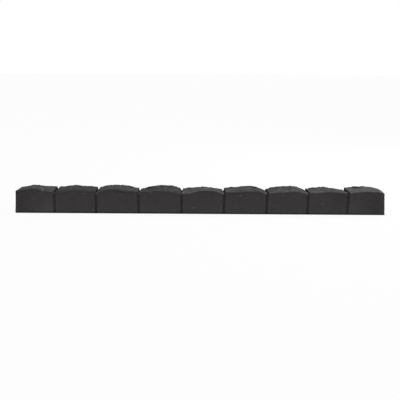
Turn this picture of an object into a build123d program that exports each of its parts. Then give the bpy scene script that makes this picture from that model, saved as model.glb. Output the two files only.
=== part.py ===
"""One moulded length of rubber lawn edging in the shape of nine hewn stones set end to end.

The whole length is a single piece of bonded rubber crumb. The stones differ in length and in skyline.
V joints run up the lawn face and across the top between them, and the back face is plain.

X runs along the row, -Y is the lawn face and Z is up. The origin is the middle of the base.
"""

from build123d import *
import os
from math import radians, tan
from typing import NamedTuple


class Stone(NamedTuple):
    """How one stone differs from the plain block of the row, in millimetres.

    Each edge has five dips below full height: at its left end, a quarter, the middle, three quarters
    and its right end.
    """

    trim: float  # length from joint to joint, more or less than the pitch
    lawn_dips: tuple
    back_dips: tuple


# Driving dimensions, in millimetres and degrees
HEIGHT = 84.0
BASE_WIDTH = 76.0
STONE_PITCH = 139.0
STONES = (
    Stone(-9.0, lawn_dips=(11.5, 5.5, 3.5, 7.0, 10.5), back_dips=(15.5, 7.5, 5.5, 8.0, 8.0)),
    Stone(-2.0, lawn_dips=(11.0, 7.5, 4.5, 7.0, 10.0), back_dips=(13.0, 7.5, 4.5, 7.5, 10.0)),
    Stone(1.0, lawn_dips=(13.5, 4.0, 2.5, 7.0, 10.0), back_dips=(12.5, 3.5, 3.0, 5.5, 10.5)),
    Stone(3.0, lawn_dips=(11.0, 7.5, 6.0, 8.5, 12.5), back_dips=(15.5, 6.5, 2.5, 3.5, 13.5)),
    Stone(1.0, lawn_dips=(15.5, 11.0, 5.0, 6.0, 14.5), back_dips=(12.0, 9.0, 7.0, 11.0, 15.0)),
    Stone(2.0, lawn_dips=(10.0, 9.5, 6.0, 7.0, 15.0), back_dips=(10.5, 7.0, 4.0, 4.5, 15.0)),
    Stone(-4.0, lawn_dips=(12.0, 10.5, 8.0, 7.0, 13.5), back_dips=(12.0, 5.5, 3.0, 4.5, 14.5)),
    Stone(-7.0, lawn_dips=(11.0, 10.5, 6.5, 9.0, 11.5), back_dips=(12.0, 6.5, 5.0, 11.0, 13.5)),
    Stone(-16.0, lawn_dips=(11.0, 7.0, 5.5, 8.0, 13.0), back_dips=(6.5, 3.0, 3.0, 5.0, 12.5)),
)
TOP_CROWN = 1.5
SHOULDER_RADIUS = 3.0
FOOT_RADIUS = 2.5
EDGE_BREAK = 1.5
JOINT_DEPTH = 6.5
JOINT_MOUTH = 8.0
JOINT_ROOT = 2.0
SADDLE_LAWN = 66.0
SADDLE_BACK = 63.0

# Mould draft of the long faces, the joint walls and the two ends
FACE_DRAFT = 2.5
JOINT_DRAFT = 1.5
END_DRAFT = 4.0

LENGTHS = [STONE_PITCH + stone.trim for stone in STONES]
LENGTH = sum(LENGTHS)


def outline(x, lean, lawn_inset, back_inset, lawn_edge, back_edge):
    """The cross-section at x: rounded feet, drafted faces, rounded shoulders and a lightly crowned top.

    The lean is the angle by which the section tips its top towards +X. The insets draw the faces in.
    """
    face_lean = tan(radians(FACE_DRAFT))
    lawn_foot = -BASE_WIDTH / 2 + lawn_inset
    back_foot = BASE_WIDTH / 2 - back_inset
    lawn_corner = (lawn_foot + lawn_edge * face_lean, lawn_edge)
    back_corner = (back_foot - back_edge * face_lean, back_edge)
    crown = (0, (lawn_edge + back_edge) / 2 + TOP_CROWN)
    sides = Polyline(lawn_corner, (lawn_foot, 0), (back_foot, 0), back_corner)
    face = make_face([*sides.edges(), ThreePointArc(back_corner, crown, lawn_corner)])
    face = fillet(face.vertices().sort_by(Axis.Y)[:2], FOOT_RADIUS)
    face = fillet(face.vertices().sort_by(Axis.Y)[-2:], SHOULDER_RADIUS)
    plane = Plane(origin=(x, 0, 0), x_dir=(0, 1, 0), z_dir=(1, 0, -tan(radians(lean))))
    return plane * face


def stone_section(stone, station, x, lean, inset=0.0, back_inset=0.0):
    """A stone's cross-section at one station of its skyline.

    The inset draws the lawn face and the top in and leaves the base where it is.
    """
    lawn_edge = HEIGHT - stone.lawn_dips[station] - inset
    back_edge = HEIGHT - stone.back_dips[station] - inset
    return outline(x, lean, inset, back_inset, lawn_edge, back_edge)


def core_section(x):
    """The cross-section of the core between two stones. Its back lies in the plain back face."""
    return outline(x, 0, JOINT_DEPTH, 0, SADDLE_LAWN, SADDLE_BACK)


class Block:
    """One stone placed in the row: its two end walls, their leans and its cross-sections."""

    def __init__(self, stone, left, right, left_lean, right_lean):
        self.stone = stone
        self.left, self.right = left, right
        self.left_lean, self.right_lean = left_lean, right_lean
        self.stations = range(len(stone.lawn_dips))

    def section(self, station):
        """The full cross-section at a station, the first and last of them just inside the bevelled rims."""
        share = station / self.stations[-1]
        x = self.left + EDGE_BREAK + (self.right - self.left - 2 * EDGE_BREAK) * share
        lean = self.left_lean * (1 - share) - self.right_lean * share
        return stone_section(self.stone, station, x, lean)

    def body(self):
        return loft([self.section(station) for station in self.stations])

    def left_wall(self):
        """The section where the bevelled rim meets the left end wall."""
        return stone_section(self.stone, 0, self.left, self.left_lean, EDGE_BREAK)

    def right_wall(self):
        return stone_section(self.stone, self.stations[-1], self.right, -self.right_lean, EDGE_BREAK)

    def left_rim(self):
        """The bevelled rim of the row's left end, which goes round the back edge too."""
        end = stone_section(self.stone, 0, self.left, self.left_lean, EDGE_BREAK, EDGE_BREAK)
        return loft([end, self.section(0)], ruled=True)

    def right_rim(self):
        last = self.stations[-1]
        end = stone_section(self.stone, last, self.right, -self.right_lean, EDGE_BREAK, EDGE_BREAK)
        return loft([self.section(last), end], ruled=True)


def place_blocks():
    """The stones from left to right, each stopping half a joint's mouth short of its neighbours."""
    blocks = []
    x = -LENGTH / 2
    last = len(STONES) - 1
    for number, (stone, length) in enumerate(zip(STONES, LENGTHS)):
        left = x if number == 0 else x + JOINT_MOUTH / 2
        right = x + length if number == last else x + length - JOINT_MOUTH / 2
        left_lean = END_DRAFT if number == 0 else JOINT_DRAFT
        right_lean = END_DRAFT if number == last else JOINT_DRAFT
        blocks.append(Block(stone, left, right, left_lean, right_lean))
        x += length
    return blocks


def joint(before, after):
    """The V joint between two stones: rim, wall, core, wall and rim."""
    middle = (before.right + after.left) / 2
    sections = [
        before.section(before.stations[-1]),
        before.right_wall(),
        core_section(middle - JOINT_ROOT / 2),
        core_section(middle + JOINT_ROOT / 2),
        after.left_wall(),
        after.section(0),
    ]
    return loft(sections, ruled=True)


def build_edging():
    """All stones and joints, fused where their cross-sections meet."""
    blocks = place_blocks()
    row = blocks[0].left_rim() + blocks[0].body()
    for before, after in zip(blocks, blocks[1:]):
        row += [joint(before, after), after.body()]
    row += blocks[-1].right_rim()
    return row


os.makedirs("parts", exist_ok=True)
edging = build_edging()
edging.label = "rubber_edging"
export_step(edging, "parts/rubber_edging.step")
box = edging.bounding_box()
print(f"solids {len(edging.solids())}, faces {len(edging.faces())}, volume {edging.volume / 1000:.0f} cm3")
print(f"size {box.size.X:.1f} x {box.size.Y:.1f} x {box.size.Z:.1f} mm, base at z {box.min.Z:.2f}")
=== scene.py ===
# %% [markdown]
# Rubber lawn edging: one moulded length that looks like nine hewn stones set end to end.
# The imported solid is the frame of this lesson. It says where the edging lies and how big it is,
# so it is loaded first, and its box is kept to hold the finished piece inside it.

# %% Load the frame
from math import cos, pi, radians, sin, tan

import bmesh
import bpy
import numpy as np
from mathutils import Matrix, Vector


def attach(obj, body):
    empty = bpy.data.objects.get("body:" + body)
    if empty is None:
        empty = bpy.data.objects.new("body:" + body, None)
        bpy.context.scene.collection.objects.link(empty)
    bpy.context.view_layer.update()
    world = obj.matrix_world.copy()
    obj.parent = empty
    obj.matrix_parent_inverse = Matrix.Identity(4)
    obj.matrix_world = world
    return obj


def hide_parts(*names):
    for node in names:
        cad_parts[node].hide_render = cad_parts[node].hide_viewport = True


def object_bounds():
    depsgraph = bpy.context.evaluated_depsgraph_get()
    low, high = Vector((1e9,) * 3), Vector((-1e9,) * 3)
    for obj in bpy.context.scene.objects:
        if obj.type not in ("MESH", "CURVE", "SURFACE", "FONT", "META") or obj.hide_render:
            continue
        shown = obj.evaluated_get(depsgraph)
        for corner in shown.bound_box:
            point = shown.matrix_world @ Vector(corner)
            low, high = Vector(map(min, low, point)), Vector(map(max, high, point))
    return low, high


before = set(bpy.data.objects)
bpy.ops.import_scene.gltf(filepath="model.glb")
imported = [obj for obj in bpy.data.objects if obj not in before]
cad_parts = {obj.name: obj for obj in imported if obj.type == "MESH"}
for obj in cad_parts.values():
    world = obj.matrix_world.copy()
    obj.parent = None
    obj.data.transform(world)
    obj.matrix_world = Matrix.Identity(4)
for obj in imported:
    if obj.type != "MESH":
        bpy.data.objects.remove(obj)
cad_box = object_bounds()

MM = 0.001


def rounded(box):
    """A box's two corners to a tenth of a millimetre, for printing."""
    return [[round(value, 4) for value in corner] for corner in box]


print("frame box", rounded(cad_box))

# %% [markdown]
# The row is a list of stones. Each has a length from joint to joint and seven heights along each of
# its two upper edges, from its left end to its right end. The first three stones are worn round above
# the lawn face and the others are still crisp there.

# %% The stones of the row
STONES = [
    # length, lawn edge heights, back edge heights, rounding of the lawn edge, all in millimetres
    (130, (72.5, 76.5, 80, 80.5, 78, 75, 72.5), (71.5, 75.5, 79, 79.5, 77, 76.5, 76.5), 2.5),
    (137, (73, 70.5, 76, 78.2, 77.3, 74.5, 73.5), (75.5, 76, 78.5, 79.5, 78, 78, 75.5), 2.5),
    (140, (70.5, 78.5, 80.5, 81, 76.5, 75.5, 74), (74, 80, 81.5, 81.5, 80.5, 77.5, 72), 2.5),
    (142, (73, 74.5, 76.5, 77, 74.5, 73, 68), (68.5, 75.5, 79.5, 81.8, 82, 80.5, 73.5), 1.5),
    (140, (68.5, 70, 75.5, 79, 79, 76.5, 69.5), (70.5, 73.5, 75.5, 76.5, 73.5, 72.5, 69.5), 1.2),
    (141, (73.5, 74, 75.5, 78, 77, 78, 69.5), (74.5, 77, 77.5, 80.5, 82, 78, 69), 1.2),
    (135, (72, 73, 74, 76, 78, 75.5, 70.5), (71, 77.5, 80.5, 81.8, 81.8, 79, 72), 1.2),
    (132, (73, 73, 74, 77.5, 76, 74, 72.5), (72.5, 76.5, 78, 80, 75.5, 72.5, 70), 1.2),
    (123, (72.5, 76, 77.5, 78, 78, 77, 72), (76.5, 80, 81.8, 81.8, 82, 79, 74), 1.2),
]
LENGTH = float(sum(stone[0] for stone in STONES))
bounds = np.concatenate([[0.0], np.cumsum([stone[0] for stone in STONES])]) - LENGTH / 2
joints = bounds[1:-1]
print("stones", len(STONES), "length", LENGTH, "joints at", joints.round(0).tolist())

# %% [markdown]
# The rest of the section is the same all along. Faces, joint walls and ends lean by their mould
# draft, and between two stones the section draws in to a smaller core.

# %% Sizes of the section and the joints, in millimetres
HALF_BASE = 38.0
FACE_SLOPE = tan(radians(2.5))
WALL_SLOPE = tan(radians(1.5))
LEFT_END_SLOPE = tan(radians(3.2))
RIGHT_END_SLOPE = tan(radians(4.0))
TOP_CROWN = 1.2
FOOT_RADIUS = 2.0
BACK_ROUND = 2.0
CORE_ROUND = 2.5
JOINT_DEPTH = 6.5
JOINT_HALF_MOUTH = 5.8
JOINT_HALF_ROOT = 0.8
JOINT_FOOT = 3.0
SADDLE_LAWN = 66.0
SADDLE_BACK = 63.0

# Each joint's notch on the top: how far it reaches left and right of its root, and how far the root
# stands to the right of the groove at the lawn edge
NOTCH_REACH = [(3, 7), (3, 5.5), (3, 5), (5, 4), (4.5, 3), (5, 3), (5, 3), (6, 2.5)]
NOTCH_SHIFT = [-1.5, 0, 0, 0, 1.5, 4.5, 3.5, 5.0]

# %% [markdown]
# The skin is one grid: columns along the row, and in each column a ring of points round the
# cross-section. Columns stand close together at the joints, where the form turns fast, and wider
# along the stones.

# %% Columns along the row
FINE_STEP = 0.7
COARSE_STEP = 2.05
JOINT_REACH = 9.0
END_BREAK = 2.0


def spread(start, stop, step):
    """Points from start up to, but not with, stop, evenly spaced and at most step apart."""
    count = max(int(np.ceil((stop - start) / step)), 1)
    return start + (stop - start) * np.arange(count) / count


def column_places():
    """The base positions of all columns: coarse on the stones, fine across the joints."""
    places = []
    left = bounds[0] + END_BREAK
    for joint in joints:
        places.append(spread(left, joint - JOINT_REACH, COARSE_STEP))
        places.append(spread(joint - JOINT_REACH, joint + JOINT_REACH, FINE_STEP))
        left = joint + JOINT_REACH
    places.append(spread(left, bounds[-1] - END_BREAK, COARSE_STEP))
    places.append([bounds[-1] - END_BREAK])
    return np.concatenate(places)


column_x = column_places()
print("columns", len(column_x))

# %% [markdown]
# Between its given heights a stone's edge is a smooth curve. A Catmull-Rom spline passes through
# every given height, and its slope at each is that between the neighbours on both sides.

# %% Heights along the row


def smooth_curve(values, share):
    """Catmull-Rom through evenly spaced values; share runs from 0 to 1.

    p(t) = a + t (m + t (3(b-a) - 2m - n + t (2(a-b) + m + n))), with slopes m and n at a and b.
    """
    values = np.asarray(values, float)
    slopes = np.gradient(values)
    place = np.clip(share, 0, 1) * (len(values) - 1)
    low = np.minimum(place.astype(int), len(values) - 2)
    t = place - low
    a, b, m, n = values[low], values[low + 1], slopes[low], slopes[low + 1]
    return a + t * (m + t * (3 * (b - a) - 2 * m - n + t * (2 * (a - b) + m + n)))


def along_row(x, which):
    """The height that a stone's table gives at x: which is 1 for the lawn edge, 2 for the back edge."""
    heights = np.zeros_like(x)
    for number, stone in enumerate(STONES):
        inside = (x >= bounds[number]) & (x <= bounds[number + 1])
        left = bounds[number] + (JOINT_HALF_MOUTH if number else 0)
        right = bounds[number + 1] - (JOINT_HALF_MOUTH if number < len(STONES) - 1 else 0)
        heights[inside] = smooth_curve(stone[which], (x[inside] - left) / (right - left))
    return heights


lawn_edge = along_row(column_x, 1)
back_edge = along_row(column_x, 2)
stone_of_column = np.clip(np.searchsorted(bounds, column_x, "right") - 1, 0, len(STONES) - 1)
lawn_round = np.array([stone[3] for stone in STONES], float)[stone_of_column]
print("lawn edge from", lawn_edge.min().round(1), "to", lawn_edge.max().round(1))
print("back edge from", back_edge.min().round(1), "to", back_edge.max().round(1))

# %% [markdown]
# The ring round a cross-section is laid out once, as the counts of points that lie on the base, the
# feet, the long faces, the shoulders and the top. Every column then fills in its own sizes.

# %% The ring of a cross-section
BASE_POINTS, FOOT_POINTS, LAWN_POINTS, SHOULDER_POINTS, TOP_POINTS, BACK_POINTS = 6, 4, 32, 7, 42, 20


def bend(start, corner, stop, share):
    """A quadratic Bezier: (1-t)^2 start + 2t(1-t) corner + t^2 stop."""
    return (1 - share) ** 2 * start + 2 * share * (1 - share) * corner + share**2 * stop


def steps(count):
    """The shares 0, 1/count, 2/count and so on below 1, as one row."""
    return (np.arange(count) / count)[None, :]


def ring(inset, lawn_z, back_z, lawn_round, back_round):
    """Rings of (y, z) points for columns whose sizes are given as arrays of shape (columns, 1).

    The inset draws the lawn face in. The top runs straight from edge to edge with a low crown
    4 c s (1 - s) on it, where s is the share across.
    """
    foot = -HALF_BASE + inset
    back_foot = HALF_BASE + 0 * foot
    ground = 0 * foot
    lawn_y = foot + lawn_z * FACE_SLOPE
    back_y = HALF_BASE - back_z * FACE_SLOPE

    def top(y):
        share = (y - lawn_y) / (back_y - lawn_y)
        return lawn_z + (back_z - lawn_z) * share + 4 * TOP_CROWN * share * (1 - share)

    lean = FOOT_RADIUS * FACE_SLOPE
    lawn_low, lawn_high = lawn_z - lawn_round, lawn_y + lawn_round
    back_low, back_high = back_z - back_round, back_y - back_round

    t = steps(BASE_POINTS)
    base = back_foot - FOOT_RADIUS + (foot - back_foot + 2 * FOOT_RADIUS) * t, ground * t
    t = steps(FOOT_POINTS)
    lawn_turn = bend(foot + FOOT_RADIUS, foot, foot + lean, t), bend(ground, 0, FOOT_RADIUS, t)
    back_turn = (bend(back_foot - lean, back_foot, back_foot - FOOT_RADIUS, t),
                 bend(ground + FOOT_RADIUS, 0, 0, t))
    z = FOOT_RADIUS + (lawn_low - FOOT_RADIUS) * steps(LAWN_POINTS)
    lawn_face = foot + z * FACE_SLOPE, z
    z = back_low + (FOOT_RADIUS - back_low) * steps(BACK_POINTS)
    back_face = HALF_BASE - z * FACE_SLOPE, z
    t = steps(SHOULDER_POINTS)
    lawn_shoulder = (bend(foot + lawn_low * FACE_SLOPE, lawn_y, lawn_high, t),
                     bend(lawn_low, lawn_z, top(lawn_high), t))
    back_shoulder = (bend(back_high, back_y, HALF_BASE - back_low * FACE_SLOPE, t),
                     bend(top(back_high), back_z, back_low, t))
    y = lawn_high + (back_high - lawn_high) * steps(TOP_POINTS)
    parts = [base, lawn_turn, lawn_face, lawn_shoulder, (y, top(y)), back_shoulder, back_face, back_turn]
    return np.concatenate([y for y, _ in parts], 1), np.concatenate([z for _, z in parts], 1)


# %% [markdown]
# Two rings are made for every column: that of the stone and that of the core.

# %% Rings of the stones and of the core


def column(values):
    """An array of one value per column, shaped so that it spreads over the ring."""
    return np.asarray(values, float)[:, None]


flush = column(np.zeros_like(column_x))
stone_y, stone_z = ring(flush, column(lawn_edge), column(back_edge), column(lawn_round), BACK_ROUND)
core_y, core_z = ring(flush + JOINT_DEPTH, flush + SADDLE_LAWN, flush + SADDLE_BACK,
                      flush + CORE_ROUND, BACK_ROUND)
ring_steps = np.arange(stone_y.shape[1])
turns = np.cumsum([BASE_POINTS + FOOT_POINTS + LAWN_POINTS, SHOULDER_POINTS, TOP_POINTS, SHOULDER_POINTS])
print("ring points", len(ring_steps))

# %% [markdown]
# A joint draws the ring of the stone in to the ring of the core. The draw is 1 at the root of the V
# and 0 at its mouth, and a rounded ramp between the two keeps both edges soft. Up the lawn face the V
# is even, widens with the draft and runs out just above the ground. Across the top it is narrower, and
# one wall is steeper than the other, as if the stones had been laid by hand. The back face is plain.

# %% Draw the joints in
EDGE_SOFTNESS = 0.12


def soft_ramp(value, softness):
    """0 below 0 and 1 above 1, a straight line between, with both corners rounded."""
    low = 0.5 * (value + np.sqrt(value**2 + softness**2))
    return 1 - 0.5 * ((1 - low) + np.sqrt((1 - low) ** 2 + softness**2))


knots_x, knots_lean = [bounds[0]], [LEFT_END_SLOPE]
for joint in joints:
    knots_x += [joint - JOINT_HALF_MOUTH, joint, joint + JOINT_HALF_MOUTH]
    knots_lean += [-WALL_SLOPE, 0.0, WALL_SLOPE]
knots_x.append(bounds[-1])
knots_lean.append(-RIGHT_END_SLOPE)
place_x = column(column_x) + column(np.interp(column_x, knots_x, knots_lean)) * stone_z

on_top = np.interp(ring_steps, turns[:2], [0, 1])
to_lawn = 0.5 - stone_y / (2 * HALF_BASE)
nearest = np.abs(place_x[:, :, None] - joints[None, None, :]).argmin(axis=2)
beside = place_x - joints[nearest] - on_top * to_lawn * np.array(NOTCH_SHIFT)[nearest]
reach = np.array(NOTCH_REACH)[nearest, (beside > 0).astype(int)]
mouth = (JOINT_HALF_MOUTH + WALL_SLOPE * stone_z) * (1 - on_top) + reach * on_top
draw = soft_ramp((mouth - np.abs(beside)) / (mouth - JOINT_HALF_ROOT), EDGE_SOFTNESS)
draw = np.clip((draw - draw.min()) / (draw.max() - draw.min()), 0, 1) * np.clip(stone_z / JOINT_FOOT, 0, 1)
grid = np.stack([place_x, stone_y + (core_y - stone_y) * draw, stone_z + (core_z - stone_z) * draw], axis=2)
print("grid", grid.shape[:2], "from", grid.min(axis=(0, 1)).round(1), "to", grid.max(axis=(0, 1)).round(1))

# %% [markdown]
# Both ends are closed by rings that shrink to a point in the middle of the end face. The first
# few turn the rim over in a quarter circle, and the rest lie flat.

# %% Close the ends
CAP_CENTRE_Z = 40.0
RIM_RINGS = 3
FACE_RINGS = 18


def cap(edge_ring, outward, slope):
    """Rings from the rim of an end to its middle; outward is -1 at the left end and 1 at the right.

    On the rim a ring goes out by r sin(a) and in by r (1 - cos(a)). On the face it shrinks to the centre
    in the plane x = p - slope z, and what the rim stands off that plane shrinks with it.
    """
    middle = np.array([0.0, CAP_CENTRE_Z])
    from_middle = edge_ring[:, 1:] - middle
    distance = np.linalg.norm(from_middle, axis=1, keepdims=True)
    rings = []
    for turn in np.linspace(0, pi / 2, RIM_RINGS + 1)[1:]:
        inward = END_BREAK * (1 - cos(turn))
        yz = middle + from_middle * (1 - inward / distance)
        rings.append(np.column_stack([edge_ring[:, 0] + outward * END_BREAK * sin(turn), yz]))
    rim = rings[-1]
    off_plane = rim[:, 0] + outward * slope * rim[:, 2]
    plane_x = off_plane.mean()
    for share in np.linspace(1, 0, FACE_RINGS + 1)[1:]:
        yz = middle + (rim[:, 1:] - middle) * share
        x = plane_x - outward * slope * yz[:, 1] + share * (off_plane - plane_x)
        rings.append(np.column_stack([x, yz]))
    return np.array(rings)


left_cap = cap(grid[0], -1, LEFT_END_SLOPE)[::-1]
right_cap = cap(grid[-1], 1, RIGHT_END_SLOPE)
skin = np.concatenate([left_cap, grid, right_cap])
cap_rings = (len(left_cap), len(right_cap))
draw_all = np.pad(draw, (cap_rings, (0, 0)))
print("skin", skin.shape)

# %% [markdown]
# The mould was taken from split stone, so every face is a little uneven. Four kinds of relief are
# added along the surface's own normal: broad swells, shallow scoops that meet in crisp ridges, broken
# facets as on riven stone, and a fine roughness.

# %% Functions for the relief of riven stone
NOISE_CELLS = 64
NOISE_OFFSET = 1000.0
FACET_OFFSET = 500.0
FACET_JITTER = 0.4


def noise(points, wavelength, seed):
    """Value noise: random numbers on a lattice, blended with the fade 6t^5 - 15t^4 + 10t^3. From -1 to 1."""
    lattice = np.random.default_rng(seed).uniform(-1, 1, (NOISE_CELLS,) * 3)
    place = points / np.asarray(wavelength, float) + NOISE_OFFSET
    low = np.floor(place).astype(int)
    t = place - low
    t = t**3 * (t * (6 * t - 15) + 10)
    total = 0.0
    for dx in (0, 1):
        for dy in (0, 1):
            for dz in (0, 1):
                weight = np.abs(1 - dx - t[..., 0]) * np.abs(1 - dy - t[..., 1]) * np.abs(1 - dz - t[..., 2])
                corner = (low + (dx, dy, dz)) % NOISE_CELLS
                total = total + weight * lattice[corner[..., 0], corner[..., 1], corner[..., 2]]
    return total


def scoops(points, centres, radii, depths):
    """The deepest of many shallow bowls at each point: max of depth (1 - d^2 / r^2), and 0 outside them."""
    deepest = np.zeros(len(points))
    for centre, radius, depth in zip(centres, radii, depths):
        distance = ((points - centre) ** 2).sum(axis=1)
        deepest = np.maximum(deepest, depth * (1 - distance / radius**2))
    return deepest


def facets(points, size, tilt, step, seed):
    """Broken faces: the plan is split into irregular cells, and each cell is a flat facet of its own.

    In a cell the height is offset + slope . (place - centre), with random offsets up to step and random
    slopes up to tilt. The cell of a point is that of the nearest centre among its nine neighbours. The
    second result is the cell's own number from -1 to 1.
    """
    table = np.random.default_rng(seed).uniform(-1, 1, (NOISE_CELLS, NOISE_CELLS, 5))
    place = points[..., :2] / np.asarray(size, float) + FACET_OFFSET
    low = np.floor(place).astype(int)
    least = np.full(points.shape[:-1], np.inf)
    height = np.zeros(points.shape[:-1])
    label = np.zeros(points.shape[:-1])
    for dx in (-1, 0, 1):
        for dy in (-1, 0, 1):
            cell = low + (dx, dy)
            own = table[cell[..., 0] % NOISE_CELLS, cell[..., 1] % NOISE_CELLS]
            offset = place - (cell + 0.5 + FACET_JITTER * own[..., :2])
            distance = (offset**2).sum(axis=-1)
            slope = tilt * (own[..., 3] * offset[..., 0] * size[0] + own[..., 4] * offset[..., 1] * size[1])
            closer = distance < least
            height = np.where(closer, step * own[..., 2] + slope, height)
            label = np.where(closer, own[..., 2], label)
            least = np.minimum(distance, least)
    return height, label


# %% [markdown]
# The normals come from the grid itself. How far a normal points up tells the top from the faces.

# %% Normals of the skin
TOP_GAIN, TOP_START = 1.4, 0.3


def grid_normals(points):
    """Unit normals of a closed grid of rings, from the cross product of its two tangents."""
    along = np.gradient(points, axis=0)
    around = (np.roll(points, -1, axis=1) - np.roll(points, 1, axis=1)) / 2
    normal = np.cross(around, along)
    return normal / np.maximum(np.linalg.norm(normal, axis=2, keepdims=True), 1e-9)


normals = grid_normals(skin)
middle_ring = len(skin) // 2
if (normals[middle_ring, :, 2] * (skin[middle_ring, :, 2] - CAP_CENTRE_Z)).sum() < 0:
    normals = -normals
normals[0] = (-1, 0, 0)
normals[-1] = (1, 0, 0)
topness = np.clip(normals[..., 2] * TOP_GAIN - TOP_START, 0, 1)
print("share of points on the top", (topness > 0.5).mean().round(2))

# %% [markdown]
# Scoops are scattered stone by stone, so that every stone has as many, and each also reaches a
# little past the joints beside it.

# %% Scatter the scoops
SCOOPS_PER_STONE = 150
SCOOP_RADII = (6, 20)
SCOOP_DEPTHS = (0.04, 0.1)  # as shares of the radius
SCOOP_OVERLAP = 5
SCOOP_SEED = 7

rng = np.random.default_rng(SCOOP_SEED)
flat_points = skin.reshape(-1, 3)
bowls = np.zeros(len(flat_points))
for left, right in zip(bounds, bounds[1:]):
    x = flat_points[:, 0]
    near = np.flatnonzero((x > left - SCOOP_OVERLAP) & (x < right + SCOOP_OVERLAP))
    own = grid[(column_x > left) & (column_x < right)].reshape(-1, 3)
    centres = own[rng.integers(0, len(own), SCOOPS_PER_STONE)]
    radii = rng.uniform(*SCOOP_RADII, SCOOPS_PER_STONE)
    depths = radii * rng.uniform(*SCOOP_DEPTHS, SCOOPS_PER_STONE)
    bowls[near] = np.maximum(bowls[near], scoops(flat_points[near], centres, radii, depths))
bowls = bowls.reshape(skin.shape[:2])
print("deepest scoop", bowls.max().round(2), "mm")

# %% [markdown]
# The four kinds are mixed with a light hand on the faces and a heavy one on the top. The relief fades
# out at the foot, which stands on the ground, and is weaker in the joints and on the flat ends.

# %% Mix the relief
SWELLS = [(0.9, (45, 30, 30), 11), (0.5, (17, 13, 13), 12)]  # height, wavelengths, seed
GRAINS = [(0.35, 6.0, 13), (0.2, 3.6, 14)]
FACE_SWELL, FACE_BOWL, FACE_ROUGH, FACE_LIFT = 0.3, 0.25, 0.12, 0.1
TOP_SWELL, TOP_BOWL, TOP_ROUGH, TOP_LIFT = 0.7, 0.35, 1.0, 0.2
FOOT_START, FOOT_REACH = 1.0, 9.0
ROOT_FADE = 0.6
END_KNOTS = (FACE_RINGS - 4, FACE_RINGS + RIM_RINGS - 1)
END_RELIEF = (0.4, 1.0)

swell = sum(height * noise(skin, wavelength, seed) for height, wavelength, seed in SWELLS)
rough = sum(height * noise(skin, wavelength, seed) for height, wavelength, seed in GRAINS)
slabs, slab_label = facets(skin, size=(17, 11), tilt=0.10, step=0.55, seed=15)
chips, chip_label = facets(skin, size=(8, 7), tilt=0.16, step=0.40, seed=16)
face_relief = FACE_SWELL * swell - FACE_BOWL * bowls + FACE_ROUGH * rough + FACE_LIFT
top_relief = TOP_SWELL * swell - TOP_BOWL * bowls + TOP_ROUGH * rough + slabs + chips + TOP_LIFT
relief = face_relief * (1 - topness) + top_relief * topness
foot_share = np.clip((skin[..., 2] - FOOT_START) / FOOT_REACH, 0, 1)
foot_fade = foot_share**2 * (3 - 2 * foot_share)
left_fade = np.interp(np.arange(cap_rings[0]), END_KNOTS, END_RELIEF)
end_fade = column(np.concatenate([left_fade, np.ones(len(grid)), left_fade[::-1]]))
relief = relief * foot_fade * (1 - ROOT_FADE * draw_all) * end_fade
skin = skin + normals * relief[..., None]
print("relief from", relief.min().round(2), "to", relief.max().round(2), "mm")

# %% [markdown]
# Some marks are this edging's own: pale grains that stand proud, pits, broken places along the
# back edge and a pebble of crumb at the head of each joint. The dark tones of the pits, of the broken
# places and of a spot below each pebble are painted shade. Besides its lift a mark has a tone, above
# zero for pale and below for dark.

# %% Marks seen on this length
# Marks with a dark tone and a lift below zero are sunk pits, and their dark tone is painted shade.
MARKS = [
    # x, y, z, reach along, reach across, tone, lift, all but the tone in millimetres
    (-519, -29, 77, 4, 6, 1.4, 0.6),
    (-548, -36, 50, 4, 2, 0.3, 0.4),
    (-515, -37, 12, 26, 4, 0.25, 0.0),
    (-600, -36, 40, 32, 60, -0.24, 0.0),
    (-500, -36, 25, 24, 35, 0.2, 0.0),
    (-380, -35, 66, 2, 2, 0.9, 0.5),
    (-380, -35, 56, 2, 2, 0.6, 0.4),
    (-374, -36, 44, 2, 2, 0.5, 0.4),
    (-374, -36, 34, 2, 2, 0.6, 0.4),
    (-273, -35, 72, 6, 2.5, -0.6, -0.5),
    (-258, -35, 63, 2, 2, 0.6, 0.4),
    (-251, -35, 55, 2, 2, 0.4, 0.3),
    (-245, -36, 38, 3, 3, -0.3, -0.6),
    (-162, -35, 73, 3, 2, 0.7, 0.5),
    (-20, -37, 21, 5, 1.5, 0.8, 0.4),
    (66, -37, 13, 3, 6, 0.3, 0.2),
    (119, -35, 68, 18, 1.5, -0.5, -0.5),
    (133, -35, 64, 3, 2, 0.6, 0.5),
    (191, -37, 28, 3, 3, -0.3, -0.5),
    (270, -35, 66, 2.5, 4, 0.4, 0.3),
    (402, -36, 36, 5, 1.5, 0.7, 0.4),
    (483, -35, 60, 5, 5, -0.6, -0.7),
    (462, -36, 60, 24, 40, -0.22, 0.0),
    (502, -36, 20, 16, 30, 0.16, 0.0),
    (585, -36, 30, 34, 45, -0.3, 0.0),
    (598, -35, 66, 2.5, 2.5, 0.5, 0.4),
    (-420, 31, 79, 5, 8, 0.1, 0.8),
    (300, -33, 77, 6, 5, 0.2, 1.0),
    (427, -28, 76, 7, 6, 0.2, 0.8),
    (556, 28, 82, 5, 8, 0.2, 0.4),
]
SHADED_HOLLOWS = [
    # the same seven numbers for broken places along the back edge: sunk a little, and painted dark as shade
    (-534, 21, 77, 9, 13, -1.4, -0.6),
    (-488, 24, 76, 4, 13, -1.5, -0.8),
    (-237, 23, 79, 13, 12, -0.5, -0.4),
    (-168, 20, 77.5, 9, 14, -1.7, -1.0),
    (-113, 23, 81, 6, 12, -0.9, -0.6),
    (0, 22, 76, 6, 13, -1.2, -0.8),
    (64, 22, 74, 9, 12, -0.7, -0.5),
    (185, 18, 79, 7, 15, -2.4, -1.2),
    (224, 21, 74, 4, 13, -1.4, -0.6),
    (527, 20, 81, 12, 14, -2.4, -0.9),
]
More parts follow.
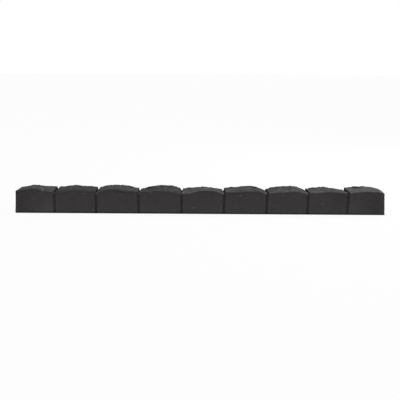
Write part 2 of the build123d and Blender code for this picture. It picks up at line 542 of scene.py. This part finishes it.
# Each joint's pebble: how far it lies to the right of the groove, and how far it is raised
HEADS = [(0, 2.4), (1.5, 2.0), (3, 2.4), (1.5, 1.6), (-3, 1.2), (-3, 1.2), (-2, 1.2), (-4, 1.4)]
for joint, (shift, lift) in zip(joints, HEADS):
    MARKS.append((joint + shift, -27, 67.5, 3.5, 5, 1.9, lift))
    # Below each pebble, a dark spot in the head of the groove: painted shade.
    MARKS.append((joint + shift / 2, -31, 60.5, 5, 2.5, -0.8, 0.0))
print("marks", len(MARKS), "hollows", len(SHADED_HOLLOWS))

# %% [markdown]
# A mark fades out like exp(-d^2) and a hollow like exp(-d^4), which has a firmer outline. The distance
# d is counted in the mark's own reach, and noise makes it a little ragged.

# %% Place the marks
MARK_SOFT, HOLLOW_FIRM = 1, 2
RAGGED_SHARE, RAGGED_SIZE, RAGGED_SEED = 0.5, 7.0, 18

# The tone of the marks also collects the painted shade and painted light added below.
tone_and_painted_light = np.zeros(skin.shape[:2])
mark_lift = np.zeros(skin.shape[:2])
ragged = 1 + RAGGED_SHARE * noise(skin, RAGGED_SIZE, RAGGED_SEED)
for marks, firmness in ((MARKS, MARK_SOFT), (SHADED_HOLLOWS, HOLLOW_FIRM)):
    for x, y, z, along, across, tone, lift in marks:
        spread_yz = (skin[..., 1] - y) ** 2 + (skin[..., 2] - z) ** 2
        distance = (((skin[..., 0] - x) / along) ** 2 + spread_yz / across**2) * ragged
        nearness = np.exp(-(distance**firmness))
        tone_and_painted_light += tone * nearness
        mark_lift += lift * nearness
print("lift from", mark_lift.min().round(2), "to", mark_lift.max().round(2), "mm")

# %% [markdown]
# Joints and edges are painted darker than the open faces, as the shade that falls in them. Each facet
# on the top has a tone of its own, and so has the top of each stone.

# %% Painted shade of the joints, tones of the top and painted light on the faces
NOTCH_SHADE, NOTCH_WALL_SHADE, GROOVE_SHADE = 0.9, 0.6, 0.28
SLAB_TONE, CHIP_TONE = 0.22, 0.16
TOP_TONES = (0.1, -0.3, -0.05, -0.36, 0.05, -0.1, -0.08, -0.08, 0.24)  # of each stone, from left to right
# The faces are lighter at the foot and darker at the top: painted light thrown up from the floor.
FACE_BOUNCE_LOW, FACE_BOUNCE_HIGH = 0.08, -0.11

top_share = np.interp(ring_steps, turns, [0, 1, 1, 0])
# Painted shade in the notches across the top, on their walls, and in the grooves down the faces.
wall = 4 * draw_all * (1 - draw_all)
tone_and_painted_light -= top_share * (NOTCH_SHADE * draw_all + NOTCH_WALL_SHADE * wall) + (1 - on_top) * GROOVE_SHADE * draw_all
tone_and_painted_light += topness * (SLAB_TONE * slab_label + CHIP_TONE * chip_label)
stone_of_point = np.clip(np.searchsorted(bounds, skin[..., 0]) - 1, 0, len(STONES) - 1)
tone_and_painted_light += topness * np.array(TOP_TONES)[stone_of_point]
# Painted light from the floor: the faces grow lighter towards the foot.
tone_and_painted_light += (1 - topness) * (FACE_BOUNCE_LOW + (FACE_BOUNCE_HIGH - FACE_BOUNCE_LOW) * skin[..., 2] / SADDLE_LAWN)

# %% [markdown]
# The back edge carries a wide painted shade and a narrow line of painted shade. The worn stones on
# the left have a painted shade along the lawn edge as well, and a faint line of painted shade runs
# just below that edge all along.

# %% Painted shade along the two upper edges
BACK_RIM_SHADE, BACK_RIM_REACH = 0.35, 18.0
BACK_LINE_SHADE, BACK_LINE_REACH = 0.6, 4.0
RIM_UNEVEN, RIM_WAVES, RIM_SEED = 0.7, (13, 60, 60), 17
LAWN_SHOULDER_SHADE, LAWN_SHOULDER_REACH, WORN_FADE = 0.42, 12.0, 10.0
LAWN_LINE_SHADE, LAWN_LINE_DROP, LAWN_LINE_REACH = 0.22, 4.0, 3.0
LAWN_FACE_REACH = 4.0


def bell(distance, reach):
    """exp(-d^2), with the distance counted in reaches."""
    return np.exp(-((distance / reach) ** 2))


rim_share = 1 + RIM_UNEVEN * noise(skin, RIM_WAVES, RIM_SEED)
from_back = HALF_BASE - skin[..., 2] * FACE_SLOPE - skin[..., 1]
# Painted shade along the back edge: a wide band and a narrow line.
back_shade = BACK_RIM_SHADE * bell(from_back, BACK_RIM_REACH)
back_shade += BACK_LINE_SHADE * bell(from_back, BACK_LINE_REACH)
tone_and_painted_light -= rim_share * topness * back_shade
from_lawn = skin[..., 1] + HALF_BASE - skin[..., 2] * FACE_SLOPE
worn_round = np.clip(1 - (skin[..., 0] - joints[2]) / WORN_FADE, 0, 1)
# Painted shade along the rounded lawn edge of the three worn stones on the left.
tone_and_painted_light -= LAWN_SHOULDER_SHADE * worn_round * topness * bell(from_lawn, LAWN_SHOULDER_REACH)
# A faint line of painted shade just below the lawn edge, stronger on the worn stones.
below_edge = column(np.pad(lawn_edge, cap_rings, "edge")) - skin[..., 2] - LAWN_LINE_DROP
on_lawn_face = np.clip(1 - from_lawn / LAWN_FACE_REACH, 0, 1) * (1 - topness)
tone_and_painted_light -= LAWN_LINE_SHADE * (0.5 + 0.5 * worn_round) * on_lawn_face * bell(below_edge, LAWN_LINE_REACH)
print("tone from", tone_and_painted_light.min().round(2), "to", tone_and_painted_light.max().round(2))

# %% [markdown]
# The marks are raised and sunk last. The edging must not outgrow its frame, so the few points that
# stand proud are held at its box.

# %% Raise the marks and hold the skin in the frame's box
CLEARANCE = 0.02
ON_GROUND = 0.05

skin = skin + normals * mark_lift[..., None]
low = np.array(cad_box[0]) / MM
high = np.array(cad_box[1]) / MM
skin = np.clip(skin, low + CLEARANCE, high - CLEARANCE)
skin[..., 2] = np.where(skin[..., 2] < ON_GROUND, 0.0, skin[..., 2])

# %% [markdown]
# The grid becomes a mesh of four-sided faces. Ring by ring each face joins two neighbours to two
# neighbours on the next ring, and the two poles are fans of triangles round a single point.

# %% Make the mesh


def grid_mesh(name, rings):
    """A closed mesh from rings of points whose first and last ring are single points."""
    count, around = rings.shape[:2]
    inner = rings[1:-1].reshape(-1, 3)
    points = np.vstack([inner, rings[0, :1], rings[-1, :1]])
    row, step = np.meshgrid(np.arange(count - 3), np.arange(around), indexing="ij")
    following = (step + 1) % around
    here, there = row * around, (row + 1) * around
    quads = np.stack([here + step, here + following, there + following, there + step], axis=2).reshape(-1, 4)
    step = np.arange(around)
    following = (step + 1) % around
    first, last = np.full(around, len(inner)), np.full(around, len(inner) + 1)
    end = (count - 3) * around
    fans = np.vstack([np.column_stack([following, step, first]),
                      np.column_stack([end + step, end + following, last])])
    mesh = bpy.data.meshes.new(name)
    mesh.from_pydata((points * MM).tolist(), [], quads.tolist() + fans.tolist())
    mesh.validate()
    mesh.update()
    piece = bpy.data.objects.new(name, mesh)
    bpy.context.scene.collection.objects.link(piece)
    return piece


edging = grid_mesh("hewn_row", skin)
bm = bmesh.new()
bm.from_mesh(edging.data)
bmesh.ops.recalc_face_normals(bm, faces=bm.faces)
print("volume", round(bm.calc_volume(signed=True) * 1e6), "cm3")
print("open edges", sum(not edge.is_manifold for edge in bm.edges))
print("triangles", sum(len(face.verts) - 2 for face in bm.faces))
bm.to_mesh(edging.data)
bm.free()
edging.data.polygons.foreach_set("use_smooth", np.ones(len(edging.data.polygons), bool))

# %% [markdown]
# Ridges are rubbed lighter, partly as wear and partly as a painted highlight, and hollows are not
# lightened. How far a point stands above the mean of its neighbours on the grid says which it is. The
# mesh carries that as an attribute, together with the tone of the marks with its painted shade and
# light, and how far a point belongs to the top.

# %% Keep what the material needs on the mesh
BLUR_TIMES = 6
FULL_RIDGE = 0.35


def blurred(values, times):
    """The mean of each point and its four neighbours on the grid, taken several times over."""
    for _ in range(times):
        padded = np.concatenate([values[:1], values, values[-1:]])
        values = (values + padded[2:] + padded[:-2] + np.roll(values, 1, 1) + np.roll(values, -1, 1)) / 5
    return values


def store(name, values):
    """Keep one number per point of the mesh, from the grid's inner rings and its two poles."""
    flat = np.concatenate([values[1:-1].reshape(-1), [values[0, 0], values[-1, 0]]])
    attribute = edging.data.attributes.new(name, "FLOAT", "POINT")
    attribute.data.foreach_set("value", flat.astype(np.float32))


skin_normals = grid_normals(skin)
skin_normals *= np.sign((normals * skin_normals).sum(axis=2, keepdims=True))
standing = ((skin - blurred(skin, BLUR_TIMES)) * skin_normals).sum(axis=2)
ridge = np.clip(standing / FULL_RIDGE, -1, 1)
ridge[:FACE_RINGS] = 0
ridge[-FACE_RINGS:] = 0
store("ridge", ridge)
store("mark", tone_and_painted_light)
store("upward", topness)
print("ridge share over 0.3:", (ridge > 0.3).mean().round(3))

# %% [markdown]
# Materials are made of nodes. A small class keeps the calls that place and join them short.

# %% Short calls for nodes


class Wires:
    """One node tree, emptied, with short calls for placing nodes in it and joining them."""

    def __init__(self, tree):
        tree.nodes.clear()
        self.nodes, self.links = tree.nodes, tree.links

    def node(self, kind, **settings):
        """A new node of the given kind, with its settings."""
        made = self.nodes.new(kind)
        for key, value in settings.items():
            setattr(made, key, value)
        return made

    def join(self, source, target):
        """A link from an output to an input."""
        self.links.new(source, target)

    def math(self, operation, first, second):
        """A sum, product or other operation on two sockets or numbers."""
        made = self.node("ShaderNodeMath", operation=operation)
        for slot, value in zip(made.inputs, (first, second)):
            if isinstance(value, (int, float)):
                slot.default_value = value
            else:
                self.join(value, slot)
        return made.outputs[0]

    def ramp(self, value, low, high, to_low, to_high):
        """The value moved from the range low to high into the range to_low to to_high, and held there."""
        made = self.node("ShaderNodeMapRange", clamp=True)
        self.join(value, made.inputs["Value"])
        for name, number in (("From Min", low), ("From Max", high), ("To Min", to_low), ("To Max", to_high)):
            made.inputs[name].default_value = number
        return made.outputs["Result"]

    def mix(self, share, first, second):
        """Two shaders mixed: the first at share 0, the second at share 1."""
        made = self.node("ShaderNodeMixShader")
        for slot, source in zip(made.inputs, (share, first, second)):
            self.join(source, slot)
        return made.outputs["Shader"]


def new_material(name):
    """An empty material and the wires of its tree."""
    material = bpy.data.materials.new(name)
    material.use_nodes = True
    return material, Wires(material.node_tree)


# %% [markdown]
# Bonded crumb: black rubber granules two or three millimetres across, pressed together with a
# binder. The granules differ a little in tone, one in a hundred is a pale speck, and the dips between
# them are painted darker as the shade that falls in them.

# %% A node group for the crumb
GRANULE = 0.0026
OWN_TONE = (0.96, 1.04)
SPECK_START, SPECK_FULL, SPECK_TONE = 0.988, 0.99, 0.3
# The gaps between granules are darkened: painted shade in the dips.
GAP_WIDTH, GAP_SHADE = 0.12, 0.8
DOME_WIDTH = 0.35
CLOUD_SCALE, CLOUD_DETAIL = 26.0, 3.0


def crumb_group():
    """Granules: their tone with painted shade in the gaps between them, the height of their domes, and broad
    patches.
    """
    group = bpy.data.node_groups.new("crumb", "ShaderNodeTree")
    group.interface.new_socket("Place", in_out="INPUT", socket_type="NodeSocketVector")
    group.interface.new_socket("Granule", in_out="INPUT", socket_type="NodeSocketFloat")
    for name in ("Tone", "Height", "Patch"):
        group.interface.new_socket(name, in_out="OUTPUT", socket_type="NodeSocketFloat")
    wires = Wires(group)
    inside = wires.node("NodeGroupInput")
    outside = wires.node("NodeGroupOutput")
    scale = wires.math("DIVIDE", 1.0, inside.outputs["Granule"])
    cells = wires.node("ShaderNodeTexVoronoi", feature="F1")
    gaps = wires.node("ShaderNodeTexVoronoi", feature="DISTANCE_TO_EDGE")
    for texture in (cells, gaps):
        wires.join(inside.outputs["Place"], texture.inputs["Vector"])
        wires.join(scale, texture.inputs["Scale"])
    split = wires.node("ShaderNodeSeparateColor")
    wires.join(cells.outputs["Color"], split.inputs["Color"])
    own_tone = wires.ramp(split.outputs["Red"], 0.0, 1.0, *OWN_TONE)
    speck = wires.ramp(split.outputs["Green"], SPECK_START, SPECK_FULL, 0.0, SPECK_TONE)
    # Painted shade in the gaps between granules.
    gap_shade = wires.ramp(gaps.outputs["Distance"], 0.0, GAP_WIDTH, GAP_SHADE, 1.0)
    wires.join(wires.math("MULTIPLY", wires.math("ADD", own_tone, speck), gap_shade), outside.inputs["Tone"])
    dome = wires.ramp(gaps.outputs["Distance"], 0.0, DOME_WIDTH, 0.0, 1.0)
    step = wires.math("MULTIPLY", split.outputs["Blue"], 0.5)
    wires.join(wires.math("MULTIPLY", dome, wires.math("ADD", step, 0.5)), outside.inputs["Height"])
    clouds = wires.node("ShaderNodeTexNoise")
    wires.join(inside.outputs["Place"], clouds.inputs["Vector"])
    clouds.inputs["Scale"].default_value = CLOUD_SCALE
    clouds.inputs["Detail"].default_value = CLOUD_DETAIL
    wires.join(clouds.outputs["Fac"], outside.inputs["Patch"])
    return group


# %% [markdown]
# The material starts from the colour of fresh crumb. The top is painted lighter and greyer as light
# from above, ridges are rubbed lighter with a painted highlight, and granules, patches, marks and a
# painted shade at the foot then scale that colour up or down.

# %% Crumb rubber material
CRUMB_TONE = (0.0775, 0.071, 0.0735, 1.0)
# The top's colour is lighter and greyer than the crumb: painted light from above.
TOP_LIGHT_TONE = (0.086, 0.0858, 0.0862, 1.0)
# Ridges take a lighter colour: partly rubbed wear, partly a painted highlight.
RUBBED_AND_HIGHLIT_TONE = (0.108, 0.107, 0.107, 1.0)
RUB_START, RUB_FULL = 0.15, 0.9
PATCH_RANGE = (0.3, 0.7)
PATCH_TONE = (0.95, 1.05)
TONE_BASE = 2.2
# The lowest few millimetres are darkened: painted contact shade where the foot meets the ground.
FOOT_SHADE_LOW, FOOT_SHADE_HIGH, FOOT_SHADE = 0.0015, 0.0075, 0.35
TONE_RANGE = (0.6, 1.6)
ROUGHNESS = (0.86, 0.66)
SPECULAR = 0.02
DOME_HEIGHT, DOME_STRENGTH = 0.0006, 0.5


def crumb_material(name):
    """Bonded rubber crumb for a mesh with the attributes upward, ridge and mark."""
    material, wires = new_material(name)
    output = wires.node("ShaderNodeOutputMaterial")
    shader = wires.node("ShaderNodeBsdfPrincipled")
    wires.join(shader.outputs["BSDF"], output.inputs["Surface"])
    place = wires.node("ShaderNodeTexCoord").outputs["Object"]
    crumb = wires.node("ShaderNodeGroup", node_tree=crumb_group())
    wires.join(place, crumb.inputs["Place"])
    crumb.inputs["Granule"].default_value = GRANULE

    upward = wires.node("ShaderNodeAttribute", attribute_name="upward")
    # Points that face up take the lighter top colour: painted light from above.
    top_lit = wires.node("ShaderNodeMix", data_type="RGBA")
    top_lit.inputs["A"].default_value = CRUMB_TONE
    top_lit.inputs["B"].default_value = TOP_LIGHT_TONE
    wires.join(upward.outputs["Fac"], top_lit.inputs["Factor"])
    worn = wires.node("ShaderNodeAttribute", attribute_name="ridge")
    # Ridges are lightened: partly rubbed wear, partly a painted highlight.
    rubbed_and_highlit = wires.node("ShaderNodeMix", data_type="RGBA")
    wires.join(top_lit.outputs["Result"], rubbed_and_highlit.inputs["A"])
    rubbed_and_highlit.inputs["B"].default_value = RUBBED_AND_HIGHLIT_TONE
    wires.join(wires.ramp(worn.outputs["Fac"], RUB_START, RUB_FULL, 0.0, 1.0), rubbed_and_highlit.inputs["Factor"])

    patch = wires.ramp(crumb.outputs["Patch"], *PATCH_RANGE, *PATCH_TONE)
    # The mark attribute carries the marks' own tones together with painted shade and painted light.
    marks_and_painted_light = wires.node("ShaderNodeAttribute", attribute_name="mark")
    height = wires.node("ShaderNodeSeparateXYZ")
    wires.join(place, height.inputs["Vector"])
    # Painted contact shade on the foot.
    foot = wires.ramp(height.outputs["Z"], FOOT_SHADE_LOW, FOOT_SHADE_HIGH, FOOT_SHADE, 1.0)
    strength = wires.math("MULTIPLY", crumb.outputs["Tone"], patch)
    strength = wires.math("MULTIPLY", strength, wires.math("POWER", TONE_BASE, marks_and_painted_light.outputs["Fac"]))
    strength = wires.math("MULTIPLY", strength, foot)
    shade = wires.node("ShaderNodeVectorMath", operation="SCALE")
    wires.join(rubbed_and_highlit.outputs["Result"], shade.inputs[0])
    wires.join(strength, shade.inputs["Scale"])
    wires.join(shade.outputs["Vector"], shader.inputs["Base Color"])

    wires.join(wires.ramp(crumb.outputs["Tone"], *TONE_RANGE, *ROUGHNESS), shader.inputs["Roughness"])
    shader.inputs["Specular IOR Level"].default_value = SPECULAR
    bump = wires.node("ShaderNodeBump")
    bump.inputs["Distance"].default_value = DOME_HEIGHT
    bump.inputs["Strength"].default_value = DOME_STRENGTH
    wires.join(crumb.outputs["Height"], bump.inputs["Height"])
    wires.join(bump.outputs["Normal"], shader.inputs["Normal"])
    return material


edging.data.materials.append(crumb_material("crumb_rubber"))
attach(edging, "root")
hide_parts("rubber_edging")

# %% [markdown]
# The floor is pale and plain. The camera sees it near white, as in a studio, and a share of its
# real shading stays so that the edging still stands on its own soft shadow.

# %% Floor
FLOOR_HALF = 20
FLOOR_GREY = (0.5, 0.5, 0.5, 1)
WHITE = (1, 1, 1, 1)
FLOOR_GLOW, GLOW_SHARE = 1.06, 0.88


def floor_material(name):
    """A matt grey that the camera alone sees mostly as a white glow."""
    material, wires = new_material(name)
    output = wires.node("ShaderNodeOutputMaterial")
    seen = wires.node("ShaderNodeLightPath")
    matt = wires.node("ShaderNodeBsdfDiffuse")
    matt.inputs["Color"].default_value = FLOOR_GREY
    glow = wires.node("ShaderNodeEmission")
    glow.inputs["Color"].default_value = WHITE
    glow.inputs["Strength"].default_value = FLOOR_GLOW
    share = wires.math("MULTIPLY", seen.outputs["Is Camera Ray"], GLOW_SHARE)
    wires.join(wires.mix(share, matt.outputs["BSDF"], glow.outputs["Emission"]), output.inputs["Surface"])
    return material


corners = [(-FLOOR_HALF, -FLOOR_HALF, 0), (FLOOR_HALF, -FLOOR_HALF, 0),
           (FLOOR_HALF, FLOOR_HALF, 0), (-FLOOR_HALF, FLOOR_HALF, 0)]
floor_mesh = bpy.data.meshes.new("floor")
floor_mesh.from_pydata(corners, [], [(0, 1, 2, 3)])
floor = bpy.data.objects.new("floor", floor_mesh)
bpy.context.scene.collection.objects.link(floor)
floor.data.materials.append(floor_material("pale_floor"))

# %% [markdown]
# The world lights the edging evenly from all sides, and the camera sees it pure white.

# %% World
WORLD_LEVEL = 0.75
WHITE_LEVEL = 1.0


def sky(wires, level):
    """A plain white background of the given strength."""
    made = wires.node("ShaderNodeBackground")
    made.inputs["Color"].default_value = WHITE
    made.inputs["Strength"].default_value = level
    return made.outputs["Background"]


world = bpy.data.worlds.new("studio")
bpy.context.scene.world = world
world.use_nodes = True
wires = Wires(world.node_tree)
output = wires.node("ShaderNodeOutputWorld")
seen = wires.node("ShaderNodeLightPath")
both = wires.mix(seen.outputs["Is Camera Ray"], sky(wires, WORLD_LEVEL), sky(wires, WHITE_LEVEL))
wires.join(both, output.inputs["Surface"])

# %% [markdown]
# One soft lamp stands behind the row to the right. It brightens the top towards that end and leaves
# the walls of the notches that face left in shade.

# %% Light
LAMP_PLACE = Vector((1.25, 0.75, 1.1))
LAMP_TARGET = Vector((0, 0, 0.04))
LAMP_SIDE = 0.6
LAMP_POWER = 12

lamp_light = bpy.data.lights.new("overhead", "AREA")
lamp_light.shape = "RECTANGLE"
lamp_light.size = LAMP_SIDE
lamp_light.size_y = LAMP_SIDE
lamp_light.energy = LAMP_POWER
lamp = bpy.data.objects.new("overhead", lamp_light)
bpy.context.scene.collection.objects.link(lamp)
lamp.location = LAMP_PLACE
lamp.rotation_euler = (LAMP_TARGET - LAMP_PLACE).to_track_quat("-Z", "Y").to_euler()

# %% [markdown]
# The camera looks down by fourteen degrees from a little left of the middle. It looks straight
# across the row, so its own place to the side carries the row off centre, and a small shift brings
# it back.

# %% Camera
CAMERA_DISTANCE = 1.863
CAMERA_RISE = radians(14.0)
CAMERA_ROLL = radians(0.363)
CAMERA_SIDE = -0.045
TARGET_HEIGHT = 0.0383
LENS = 50.0
SENSOR = 36.0
FRAMING = 0.0003

view_camera = bpy.data.cameras.new("photo_camera")
view_camera.lens = LENS
view_camera.sensor_width = SENSOR
view_camera.shift_x = -CAMERA_SIDE / CAMERA_DISTANCE * LENS / SENSOR + FRAMING
camera = bpy.data.objects.new("photo_camera", view_camera)
bpy.context.scene.collection.objects.link(camera)
camera_back = CAMERA_DISTANCE * cos(CAMERA_RISE)
camera_up = CAMERA_DISTANCE * sin(CAMERA_RISE)
camera.location = (CAMERA_SIDE, -camera_back, TARGET_HEIGHT + camera_up)
upright_turn = Matrix.Rotation(pi / 2 - CAMERA_RISE, 4, "X")
camera.rotation_euler = (upright_turn @ Matrix.Rotation(CAMERA_ROLL, 4, "Z")).to_euler()
bpy.context.scene.camera = camera
bpy.context.scene.view_settings.view_transform = "Standard"

# %% [markdown]
# The finished piece may not be bigger than the frame, so the frame's box is printed once more at the end.

# %% Print the frame's box and finish
print("cad box", rounded(cad_box))
